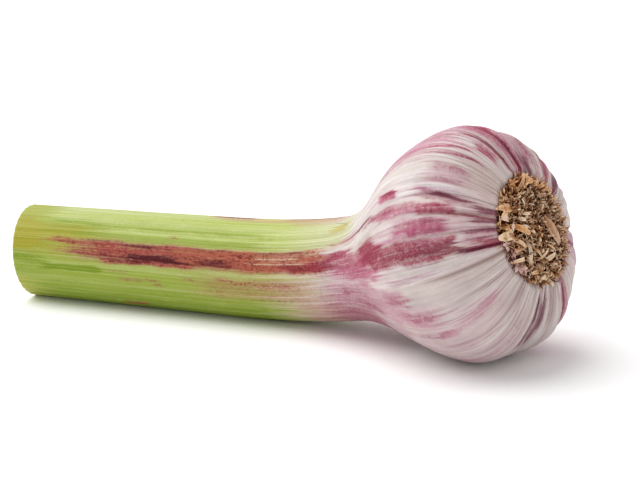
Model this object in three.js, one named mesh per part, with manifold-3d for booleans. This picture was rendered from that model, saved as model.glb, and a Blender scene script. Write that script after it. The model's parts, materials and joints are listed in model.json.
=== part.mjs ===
// A head of fresh garlic with its cut stalk, lying on its side.
// Units are millimetres and degrees, +Z is up, the stalk lies towards -X.
// The origin is the middle of the flat spot under the head.

import * as THREE from 'three';
import { mergeVertices } from 'three/addons/utils/BufferGeometryUtils.js';
import { ParametricGeometry } from 'three/addons/geometries/ParametricGeometry.js';
import Module from 'manifold-3d';

const wasm = await Module();
wasm.setup();

// The head, measured from its widest section along its own axis
const headRadius = 30;
const rootReach = 19.4;
const neckReach = 43.2;
const neckHollow = 2.6;
const shoulderRound = 2.34;
const shoulderFull = 2.39;
const headCentre = { x: -1.3, y: -0.4 };

// The stalk, measured along its centre line from the cut end to the head's widest section
const stalkLength = 138.5;
const cutRadius = 12.8;
const neckRadius = 14.0;
const pressedFlat = 0.2;

// The cut end leans: its top stands further out than its underside
const cutReach = 0.9;
const cutLean = 1.1;
const cutBevel = 0.5;

// The centre line bends between the stalk and the head
const headPitch = 20.8;
const headYaw = 17.9;
const bendFromHead = 45.4;
const bendHalf = 35.9;

// Creases between the cloves, by angle round the axis and depth
const creases = [
  { at: 15, depth: 1.4 },
  { at: 55, depth: 1.3 },
  { at: 95, depth: 2.4 },
  { at: 136, depth: 1.4 },
  { at: 177, depth: 2.2 },
  { at: 225, depth: 0.7 },
  { at: 258, depth: 1.6 },
  { at: 340, depth: 0.7 },
];
const creaseWidth = 12;
const cloveSwell = 0.8;
const bellySag = 1.0;
const napeRise = 0.6;

// Pleats in the skin, gathered at the root plate
const pleatCount = 32;
const stepsPerPleat = 4;
const pleatDepth = 1.0;
const headSections = [
  -26.5, -22.5, -18.5, -14.5, -10.5, -6.5, -2.5, 1.5, 5, 8, 10.5, 12.6, 14.4, 15.9,
];

// Ribs along the stalk
const ribCount = 30;
const ribHeight = 0.3;
const stalkSections = [0.005, 0.06, 0.14, 0.25, 0.36, 0.47, 0.58, 0.68, 0.77, 0.86, 0.94, 1];

// Where the head's skin ends round the neck, and how the stalk sits in it
const collarAt = 95;
const collarJag = 0.5;
const collarStep = 0.9;
const collarLap = 0.8;
const plugEnd = 112;
const gap = 0.3;

// The root plate and the roots on it
const plateRadius = 13.4;
const plateAt = 17.2;
const plateHeight = 2.2;
const plateTurnIn = 1.8;
const plateTurnOver = 0.7;
const innerRoots = 80;
const outerRoots = 36;
const rootWidth = 2.1;
const rootThickness = 1.0;
const rootSink = 0.9;
const rootSwirl = 0.8;
const rootDisorder = 0.8;

const toRadians = THREE.MathUtils.degToRad;
const { clamp, lerp, smoothstep } = THREE.MathUtils;

// Random numbers that come out the same each time
function seededRandom(seed) {
  let state = seed;
  return () => {
    state = (state * 1664525 + 1013904223) % 4294967296;
    return state / 4294967296;
  };
}

function between(random, low, high) {
  return lerp(low, high, random());
}

// The centre line. The stalk's underside lies level, so the line climbs as the stalk gets thicker.
const lineStep = 0.5;
const lineStart = -4;
const stalkSlope = Math.atan((neckRadius - cutRadius) / (stalkLength - neckReach));

function directionAt(s) {
  const bent = smoothstep(s, stalkLength - bendFromHead - bendHalf, stalkLength - bendFromHead + bendHalf);
  const pitch = lerp(stalkSlope, toRadians(headPitch), bent);
  const yaw = toRadians(headYaw) * bent;
  return new THREE.Vector3(
    Math.cos(pitch) * Math.cos(yaw),
    -Math.cos(pitch) * Math.sin(yaw),
    Math.sin(pitch),
  );
}

function traceCentreLine() {
  const startHeight = cutRadius - pressedFlat + lineStart * Math.sin(stalkSlope);
  const points = [new THREE.Vector3(0, 0, startHeight)];
  for (let s = lineStart; s < stalkLength + rootReach + 1; s += lineStep) {
    points.push(points.at(-1).clone().addScaledVector(directionAt(s + lineStep / 2), lineStep));
  }
  const widest = points[Math.round((stalkLength - lineStart) / lineStep)].clone();
  const shift = new THREE.Vector3(headCentre.x - widest.x, headCentre.y - widest.y, 0);
  return points.map((point) => point.add(shift));
}

const centreLine = traceCentreLine();

function centreAt(s) {
  const step = clamp((s - lineStart) / lineStep, 0, centreLine.length - 1.001);
  const below = Math.floor(step);
  return centreLine[below].clone().lerp(centreLine[below + 1], step - below);
}

// A point at a distance from the centre line. The angle is 0 on top and 90 on the -Y side.
function pointAround(s, angle, radius) {
  const along = directionAt(s);
  const up = new THREE.Vector3(0, 0, 1).addScaledVector(along, -along.z).normalize();
  const side = new THREE.Vector3().crossVectors(along, up);
  return centreAt(s)
    .addScaledVector(up, radius * Math.cos(angle))
    .addScaledVector(side, radius * Math.sin(angle));
}

// How far an angle lies from another one given in degrees
function angleApart(angle, degrees) {
  return THREE.MathUtils.euclideanModulo(THREE.MathUtils.radToDeg(angle) - degrees + 180, 360) - 180;
}

// The plain radius of stalk, neck and head
function profileRadius(s) {
  const u = s - stalkLength;
  if (u >= 0) {
    return headRadius * Math.pow(1 - Math.pow(Math.min(u / rootReach, 1), shoulderRound), 1 / shoulderFull);
  }
  const stalk = lerp(neckRadius, cutRadius, clamp((-u - neckReach) / (stalkLength - neckReach), 0, 1));
  const swell = Math.max(1 - (u / neckReach) ** 2, 0);
  return stalk + (headRadius - stalk) * Math.pow(swell, neckHollow);
}

// The clove bulges stand out between the creases and fade towards the neck. The belly sags onto the
// ground, and the nape stands a little high.
function cloveRelief(u, angle) {
  const cut = creases.reduce(
    (sum, crease) => sum + crease.depth * Math.exp(-((angleApart(angle, crease.at) / creaseWidth) ** 2)),
    0,
  );
  const belly = bellySag * Math.exp(-((angleApart(angle, 184) / 40) ** 2) - ((u + 7) / 13) ** 2);
  const nape = napeRise * Math.exp(-((angleApart(angle, 350) / 55) ** 2) - ((u + 19) / 12) ** 2);
  return (cloveSwell - cut) * smoothstep(u, -14, 8) + belly + nape;
}

const pleatRandom = seededRandom(11);
const pleats = Array.from({ length: pleatCount }, () => ({
  height: 0.5 + 0.7 * pleatRandom(),
  start: -12 + 18 * pleatRandom(),
}));

// The pleats differ in width: the angle of each column is shifted a little.
function pleatAngle(turn) {
  const angle = 2 * Math.PI * turn;
  return angle + 0.05 * Math.sin(3 * angle + 1) + 0.035 * Math.sin(5 * angle + 2);
}

function pleatRelief(u, turn) {
  const phase = turn * pleatCount;
  const pleat = pleats[Math.floor(phase + 1e-6) % pleatCount];
  const crest = Math.pow(Math.abs(Math.sin(Math.PI * phase)), 0.6) - 0.7;
  return pleatDepth * pleat.height * crest * smoothstep(u, pleat.start, 15);
}

// The torn end of the skin runs further down the neck on the green side, near 35 degrees.
function collarEdge(angle) {
  const green = 9 * Math.exp(-((angleApart(angle, 34) / 17) ** 2));
  const jag = collarJag * (Math.sin(5 * angle) + Math.sin(8 * angle + 2) + 0.7 * Math.sin(13 * angle + 1));
  return collarAt + green + jag;
}

function toManifold(geometry) {
  const bare = geometry.index ? geometry.toNonIndexed() : geometry.clone();
  bare.deleteAttribute('normal');
  bare.deleteAttribute('uv');
  const merged = mergeVertices(bare, 1e-4);
  const corners = merged.index.array;
  const triangles = [];
  for (let i = 0; i < corners.length; i += 3) {
    const [a, b, c] = [corners[i], corners[i + 1], corners[i + 2]];
    if (a !== b && b !== c && c !== a) triangles.push(a, b, c);
  }
  return new wasm.Manifold(new wasm.Mesh({
    numProp: 3,
    vertProperties: new Float32Array(merged.attributes.position.array),
    triVerts: new Uint32Array(triangles),
  }));
}

function toGeometry(solid) {
  const mesh = solid.getMesh();
  const geometry = new THREE.BufferGeometry();
  geometry.setAttribute('position', new THREE.BufferAttribute(new Float32Array(mesh.vertProperties), 3));
  geometry.setIndex(new THREE.BufferAttribute(new Uint32Array(mesh.triVerts), 1));
  geometry.computeVertexNormals();
  return geometry;
}

// A closed solid from rows of rings. Each row gives a place on the line and a radius for a turn 0 to 1.
function ringSolid(columns, rows) {
  const geometry = new ParametricGeometry((across, down, target) => {
    const turn = (Math.round(across * columns) % columns) / columns;
    const row = rows[Math.round(down * (rows.length - 1))];
    const { s, angle, radius } = row(turn);
    target.copy(pointAround(s, angle, radius));
  }, columns, rows.length - 1);
  return toManifold(geometry);
}

// Everything below the surface that the garlic lies on
function groundSolid() {
  const ground = new THREE.BoxGeometry(400, 200, 20);
  ground.translate(0, 0, -10);
  return toManifold(ground);
}

// The cut ends of the rolled leaf sheaths: inner and outer share of the cut radius, and depth
const sheathRings = [
  { inner: 0.0, outer: 0.2, depth: 0.2 },
  { inner: 0.25, outer: 0.44, depth: 1.0 },
  { inner: 0.49, outer: 0.67, depth: 0.4 },
  { inner: 0.72, outer: 0.86, depth: 1.1 },
];
const outerSheath = 0.906;

// Where the leaning cut crosses the centre line's direction
function cutPlace(angle, radius) {
  return -cutReach - cutLean * Math.cos(angle) * (radius / cutRadius);
}

// The stalk's rows, from the cut end to the plug inside the neck, all grown outwards by an amount
function stalkRows(grow) {
  const columnAngle = (turn) => 2 * Math.PI * turn;
  const faceRow = (depth, radius) => (turn) => {
    const angle = columnAngle(turn);
    return { s: cutPlace(angle, radius) + depth - grow, angle, radius };
  };
  const rows = [];
  for (const ring of sheathRings) {
    rows.push(faceRow(ring.depth, ring.inner * cutRadius));
    rows.push(faceRow(ring.depth, ring.outer * cutRadius));
  }
  rows.push(faceRow(0, outerSheath * cutRadius));
  rows.push(faceRow(0, cutRadius - cutBevel + grow));
  for (const share of stalkSections) {
    rows.push((turn) => {
      const angle = columnAngle(turn);
      const s = lerp(cutPlace(angle, cutRadius), collarEdge(angle) - gap / 2, share);
      const rib = ribHeight * (Math.cos(ribCount * angle) * 0.5 - 0.5);
      return { s, angle, radius: profileRadius(s) + rib + grow };
    });
  }
  for (const share of [0, 0.5, 1]) {
    rows.push((turn) => {
      const angle = columnAngle(turn);
      const s = lerp(collarEdge(angle) + 0.4, plugEnd + grow, share);
      return { s, angle, radius: Math.min(profileRadius(s), neckRadius + 1) - collarStep + grow };
    });
  }
  rows.push(() => ({ s: plugEnd + grow, angle: 0, radius: 0 }));
  return rows;
}

function stalkSolid() {
  return ringSolid(2 * ribCount, stalkRows(0)).subtract(groundSolid());
}

// The head's rows, from inside the neck over the cloves to the recess of the root plate
function bulbRows() {
  const skin = (s, turn) => {
    const u = s - stalkLength;
    const angle = pleatAngle(turn);
    return { s, angle, radius: profileRadius(s) + cloveRelief(u, angle) + pleatRelief(u, turn) };
  };
  const rows = [() => ({ s: (collarAt + plugEnd) / 2, angle: 0, radius: 0 })];
  for (const share of [0, 0.33, 0.66]) {
    rows.push((turn) => skin(lerp(collarEdge(pleatAngle(turn)) + collarLap, plugEnd, share), turn));
  }
  for (const u of [...headSections, plateAt]) {
    rows.push((turn) => skin(stalkLength + u, turn));
  }
  const plate = stalkLength + plateAt;
  rows.push((turn) => {
    const outer = skin(plate, turn);
    const radius = lerp(outer.radius, profileRadius(plate), 0.4) - plateTurnIn;
    return { s: plate + plateTurnOver, angle: outer.angle, radius };
  });
  rows.push((turn) => ({ s: plate - gap, angle: pleatAngle(turn), radius: plateRadius + gap }));
  rows.push(() => ({ s: plate - gap, angle: 0, radius: 0 }));
  return rows;
}

function bulbSolid() {
  const socket = ringSolid(2 * ribCount, stalkRows(gap));
  return ringSolid(pleatCount * stepsPerPleat, bulbRows()).subtract(socket).subtract(groundSolid());
}

// The tuft is made with its axis along +Y and turned onto the head's axis afterwards.
function plateGeometry() {
  const profile = [
    [0, 0],
    [plateRadius - 0.6, 0],
    [plateRadius, 0.5],
    [plateRadius - 0.4, 1.2],
    [plateRadius * 0.8, plateHeight * 0.75],
    [plateRadius * 0.45, plateHeight * 0.95],
    [0, plateHeight],
  ];
  return new THREE.LatheGeometry(profile.map(([r, y]) => new THREE.Vector2(r, y)), 20);
}

function plateTop(radius) {
  return plateHeight * Math.sqrt(1 - (radius / plateRadius) ** 2);
}

// A root along a curve through its points, with a three-sided section
function rootGeometry(points) {
  const section = new THREE.Shape();
  section.moveTo(-rootThickness / 2, -rootWidth / 2);
  section.lineTo(rootThickness / 2, 0);
  section.lineTo(-rootThickness / 2, rootWidth / 2);
  section.closePath();
  return new THREE.ExtrudeGeometry(section, {
    steps: 2,
    bevelEnabled: false,
    extrudePath: new THREE.CatmullRomCurve3(points),
  });
}

// An inner root stands up from the plate and curls over to one side.
function innerRoot(share, angle, random) {
  const radius = (plateRadius - 1.6) * Math.sqrt(share);
  const lean = angle + rootSwirl + between(random, -rootDisorder, rootDisorder);
  const sideways = new THREE.Vector3(Math.cos(lean), 0, Math.sin(lean));
  const sunk = Math.max(plateTop(radius) - rootSink, rootSink);
  const base = new THREE.Vector3(Math.cos(angle) * radius, sunk, Math.sin(angle) * radius);
  const middle = base.clone().addScaledVector(sideways, between(random, 0.9, 1.9));
  middle.y += between(random, 1.4, 2.0);
  const tip = middle.clone().addScaledVector(sideways, between(random, 1.3, 3.0));
  tip.y += between(random, -0.3, 0.6);
  return rootGeometry([base, middle, tip]);
}

// An outer root leaves the rim of the plate and lies out over the skin.
function outerRoot(angle, random) {
  const outwards = new THREE.Vector3(Math.cos(angle), 0, Math.sin(angle));
  const around = new THREE.Vector3(-Math.sin(angle), 0, Math.cos(angle));
  const base = outwards.clone().multiplyScalar(plateRadius - 1.9);
  base.y = rootSink;
  const middle = outwards.clone().multiplyScalar(plateRadius - 0.4);
  middle.addScaledVector(around, between(random, -0.5, 0.5));
  middle.y = between(random, 2.1, 2.5);
  const tip = outwards.clone().multiplyScalar(plateRadius + between(random, 0.5, 1.7));
  tip.addScaledVector(around, between(random, -1.2, 1.2));
  tip.y = between(random, 2.2, 3.0);
  return rootGeometry([base, middle, tip]);
}

function rootsSolid() {
  const random = seededRandom(5);
  const goldenAngle = Math.PI * (3 - Math.sqrt(5));
  let tuft = toManifold(plateGeometry());
  for (let i = 0; i < innerRoots; i += 1) {
    tuft = tuft.add(toManifold(innerRoot((i + random()) / innerRoots, i * goldenAngle, random)));
  }
  for (let i = 0; i < outerRoots; i += 1) {
    const angle = (2 * Math.PI * (i + between(random, 0, 0.6))) / outerRoots;
    tuft = tuft.add(toManifold(outerRoot(angle, random)));
  }
  return tuft.decompose().reduce((best, piece) => (piece.volume() > best.volume() ? piece : best));
}

const bulbSkin = new THREE.MeshStandardMaterial({ color: 0xd8c3c8, roughness: 0.45, metalness: 0 });
const greenSheath = new THREE.MeshStandardMaterial({ color: 0xa9bf6a, roughness: 0.5, metalness: 0 });
const dryRoot = new THREE.MeshStandardMaterial({ color: 0xa58258, roughness: 0.9, metalness: 0 });

function namedMesh(name, solid, material) {
  const mesh = new THREE.Mesh(toGeometry(solid), material);
  mesh.name = name;
  return mesh;
}

const garlic = new THREE.Group();
garlic.add(namedMesh('bulb', bulbSolid(), bulbSkin));
garlic.add(namedMesh('stalk', stalkSolid(), greenSheath));

const roots = namedMesh('roots', rootsSolid(), dryRoot);
const rootAxis = directionAt(stalkLength + plateAt);
roots.position.copy(centreAt(stalkLength + plateAt));
roots.quaternion.setFromUnitVectors(new THREE.Vector3(0, 1, 0), rootAxis);
garlic.add(roots);

export default garlic;
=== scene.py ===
import json
import math

import bpy
import numpy as np
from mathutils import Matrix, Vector

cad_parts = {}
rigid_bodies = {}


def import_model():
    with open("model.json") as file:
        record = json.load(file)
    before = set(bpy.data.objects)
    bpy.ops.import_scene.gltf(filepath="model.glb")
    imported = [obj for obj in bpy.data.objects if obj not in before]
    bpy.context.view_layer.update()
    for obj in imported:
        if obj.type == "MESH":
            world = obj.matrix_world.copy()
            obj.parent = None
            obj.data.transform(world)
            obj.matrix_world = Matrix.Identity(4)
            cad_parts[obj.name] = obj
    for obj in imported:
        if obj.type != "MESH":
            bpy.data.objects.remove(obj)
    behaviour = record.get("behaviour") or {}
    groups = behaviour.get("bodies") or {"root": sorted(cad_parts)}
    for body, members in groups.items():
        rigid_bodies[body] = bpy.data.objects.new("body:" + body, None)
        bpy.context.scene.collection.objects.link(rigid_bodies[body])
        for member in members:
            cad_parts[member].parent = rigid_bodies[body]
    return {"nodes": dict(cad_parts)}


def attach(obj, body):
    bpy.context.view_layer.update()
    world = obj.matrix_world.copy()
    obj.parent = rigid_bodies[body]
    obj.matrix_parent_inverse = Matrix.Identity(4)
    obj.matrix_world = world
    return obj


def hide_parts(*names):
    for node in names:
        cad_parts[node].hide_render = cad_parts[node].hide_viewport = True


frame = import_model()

mm = 0.001
scene = bpy.context.scene
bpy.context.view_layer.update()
print("frame loaded:", sorted(frame["nodes"]))


def linear(hexText):
    # an sRGB hex value as a linear colour
    parts = [int(hexText[i:i + 2], 16) / 255 for i in (1, 3, 5)]
    return [p / 12.92 if p <= 0.04045 else ((p + 0.055) / 1.055) ** 2.4 for p in parts] + [1.0]


def addNode(tree, kind, links=None, out=0, stops=None, **settings):
    # one node, whose kind may leave out "ShaderNode"; links holds a value or an output for each input in use
    node = tree.nodes.new(kind if "Node" in kind else "ShaderNode" + kind)
    for name, value in settings.items():
        setattr(node, name, value)
    if stops:
        ramp = node.color_ramp.elements
        for i, (place, colour) in enumerate(stops):
            stop = ramp[i] if i < 2 else ramp.new(place)
            stop.position = place
            stop.color = colour
    inputs = [port for port in node.inputs if port.enabled]
    for key, value in (links or {}).items():
        port = inputs[key] if isinstance(key, int) else next(p for p in inputs if p.name == key)
        if isinstance(value, bpy.types.NodeSocket):
            tree.links.new(value, port)
        else:
            port.default_value = value
    outputs = [port for port in node.outputs if port.enabled]
    return outputs[out] if outputs else node


# the whole garlic's shape, in mm and degrees
shape = {
    "headRadius": 30.0,       # widest radius of the head
    "rootReach": 19.4,        # widest section to the root pole
    "neckReach": 43.2,        # widest section to the end of the neck
    "neckHollow": 2.6,        # how hollow the neck's curve is
    "shoulderRound": 2.34,
    "shoulderFull": 2.39,
    "headCentre": (-1.3, -0.4),
    "stalkLength": 138.5,     # cut end to the widest section, along the centre line
    "cutRadius": 12.8,
    "cutReach": 0.9,          # how far the cut end stands out
    "cutLean": 1.1,           # its top stands further out than its underside
    "neckRadius": 14.0,
    "pressedFlat": 0.2,
    "headPitch": 20.8,
    "headYaw": 17.9,
    "bendFromHead": 45.4,
    "bendHalf": 35.9,
    "collarAt": 95.0,         # where the skin ends round the neck
    "collarJag": 0.5,
    "collarTongue": (9, 34, 17),       # the skin's end runs further there: mm, degrees, their spread
    "plugEnd": 112.0,         # the stalk's hidden end inside the neck
    "plateAt": 17.2,          # root plate, past the widest section
    "plateRadius": 13.4,
    "plateHeight": 2.2,
    "cloveSwell": 0.8,        # how far cloves bulge between the creases
    "cloveFrom": (-14, 8),    # they start and are full at these mm past the widest section
    "creases": {15: 1.4, 55: 1.3, 95: 2.4, 136: 1.4, 177: 2.2, 225: 0.7, 258: 1.6, 340: 0.7},   # their depths
    "creaseWidth": 12.0,
    "belly": (1.0, 184, 40, -7, 13),   # a low swelling: height, degrees, their spread, mm past, their spread
    "nape": (0.6, 350, 55, -19, 12),
    "lineStart": -4.0,        # the centre line begins before the cut
    "tube": 14,               # radius of the straight tube that wrinkles and streaks are laid out on
}


def smooth(x, low, high):
    t = np.clip((x - low) / (high - low), 0, 1)
    return t * t * (3 - 2 * t)


def apart(degrees, at):
    # how far an angle lies from another, -180 to 180
    return (degrees - at + 180) % 360 - 180


def directionAt(s):
    # the centre line bends up and towards -Y between the stalk and the head
    middle = shape["stalkLength"] - shape["bendFromHead"]
    bent = smooth(s, middle - shape["bendHalf"], middle + shape["bendHalf"])
    widening = shape["neckRadius"] - shape["cutRadius"]
    slope = math.atan(widening / (shape["stalkLength"] - shape["neckReach"]))
    pitch = slope + (math.radians(shape["headPitch"]) - slope) * bent
    yaw = math.radians(shape["headYaw"]) * bent
    return np.stack([np.cos(pitch) * np.cos(yaw), -np.cos(pitch) * np.sin(yaw), np.sin(pitch)], -1)


def traceCentreLine(step=0.5):
    start = shape["lineStart"]
    s = np.arange(start, shape["stalkLength"] + shape["rootReach"] + 8, step)
    points = np.vstack([[0, 0, 0], np.cumsum(directionAt(s + step / 2) * step, axis=0)])
    widest = points[round((shape["stalkLength"] - start) / step)].copy()
    points[:, 0] += shape["headCentre"][0] - widest[0]
    points[:, 1] += shape["headCentre"][1] - widest[1]
    points[:, 2] += shape["cutRadius"] - shape["pressedFlat"] - points[round(-start / step), 2]
    return start + np.arange(len(points)) * step, points


lineAt, linePoints = traceCentreLine()


def centreAt(s):
    return np.stack([np.interp(s, lineAt, linePoints[:, i]) for i in range(3)], -1)


def outwardAt(s, degrees):
    # unit vector away from the centre line: 0 is up, 90 is the -Y side
    along = directionAt(s)
    up = np.array([0, 0, 1.0]) - along * along[..., 2:3]
    up /= np.linalg.norm(up, axis=-1, keepdims=True)
    side = np.cross(along, up)
    turn = np.radians(degrees)[..., None]
    return up * np.cos(turn) + side * np.sin(turn)


def profileRadius(s):
    # plain radius of stalk, neck and head
    u = s - shape["stalkLength"]
    shoulder = 1 - np.clip(u / shape["rootReach"], 0, 1) ** shape["shoulderRound"]
    rootSide = shape["headRadius"] * shoulder ** (1 / shape["shoulderFull"])
    share = np.clip((-u - shape["neckReach"]) / (shape["stalkLength"] - shape["neckReach"]), 0, 1)
    stalk = shape["neckRadius"] + (shape["cutRadius"] - shape["neckRadius"]) * share
    swell = np.clip(1 - (u / shape["neckReach"]) ** 2, 0, 1)
    neckSide = stalk + (shape["headRadius"] - stalk) * swell ** shape["neckHollow"]
    return np.where(u >= 0, rootSide, neckSide)


def cloveRelief(s, degrees):
    # clove bulges stand out between the creases, the belly sags onto the ground and the nape rises
    u = s - shape["stalkLength"]
    cut = sum(depth * np.exp(-(apart(degrees, at) / shape["creaseWidth"]) ** 2)
              for at, depth in shape["creases"].items())
    swellings = sum(height * np.exp(-(apart(degrees, at) / wide) ** 2 - ((u - past) / far) ** 2)
                    for height, at, wide, past, far in (shape["belly"], shape["nape"]))
    return (shape["cloveSwell"] - cut) * smooth(u, *shape["cloveFrom"]) + swellings


def cutPlace(degrees, radius):
    # where the leaning cut lies along the centre line
    return -shape["cutReach"] - shape["cutLean"] * np.cos(np.radians(degrees)) * radius / shape["cutRadius"]


def collarEdge(degrees):
    # the torn end of the skin, with a tongue down the green side of the neck
    turn = np.radians(degrees)
    reach, at, wide = shape["collarTongue"]
    tongue = reach * np.exp(-(apart(degrees, at) / wide) ** 2)
    jag = np.sin(5 * turn) + np.sin(8 * turn + 2) + 0.7 * np.sin(13 * turn + 1)
    return shape["collarAt"] + tongue + shape["collarJag"] * jag


def meridianTable():
    # distance along the skin from the cut end, for places on the centre line
    s = np.linspace(0, shape["stalkLength"] + shape["plateAt"] + 0.5, 4000)
    return s, np.concatenate([[0], np.cumsum(np.hypot(np.diff(s), np.diff(profileRadius(s))))])


tableS, tableM = meridianTable()

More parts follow.
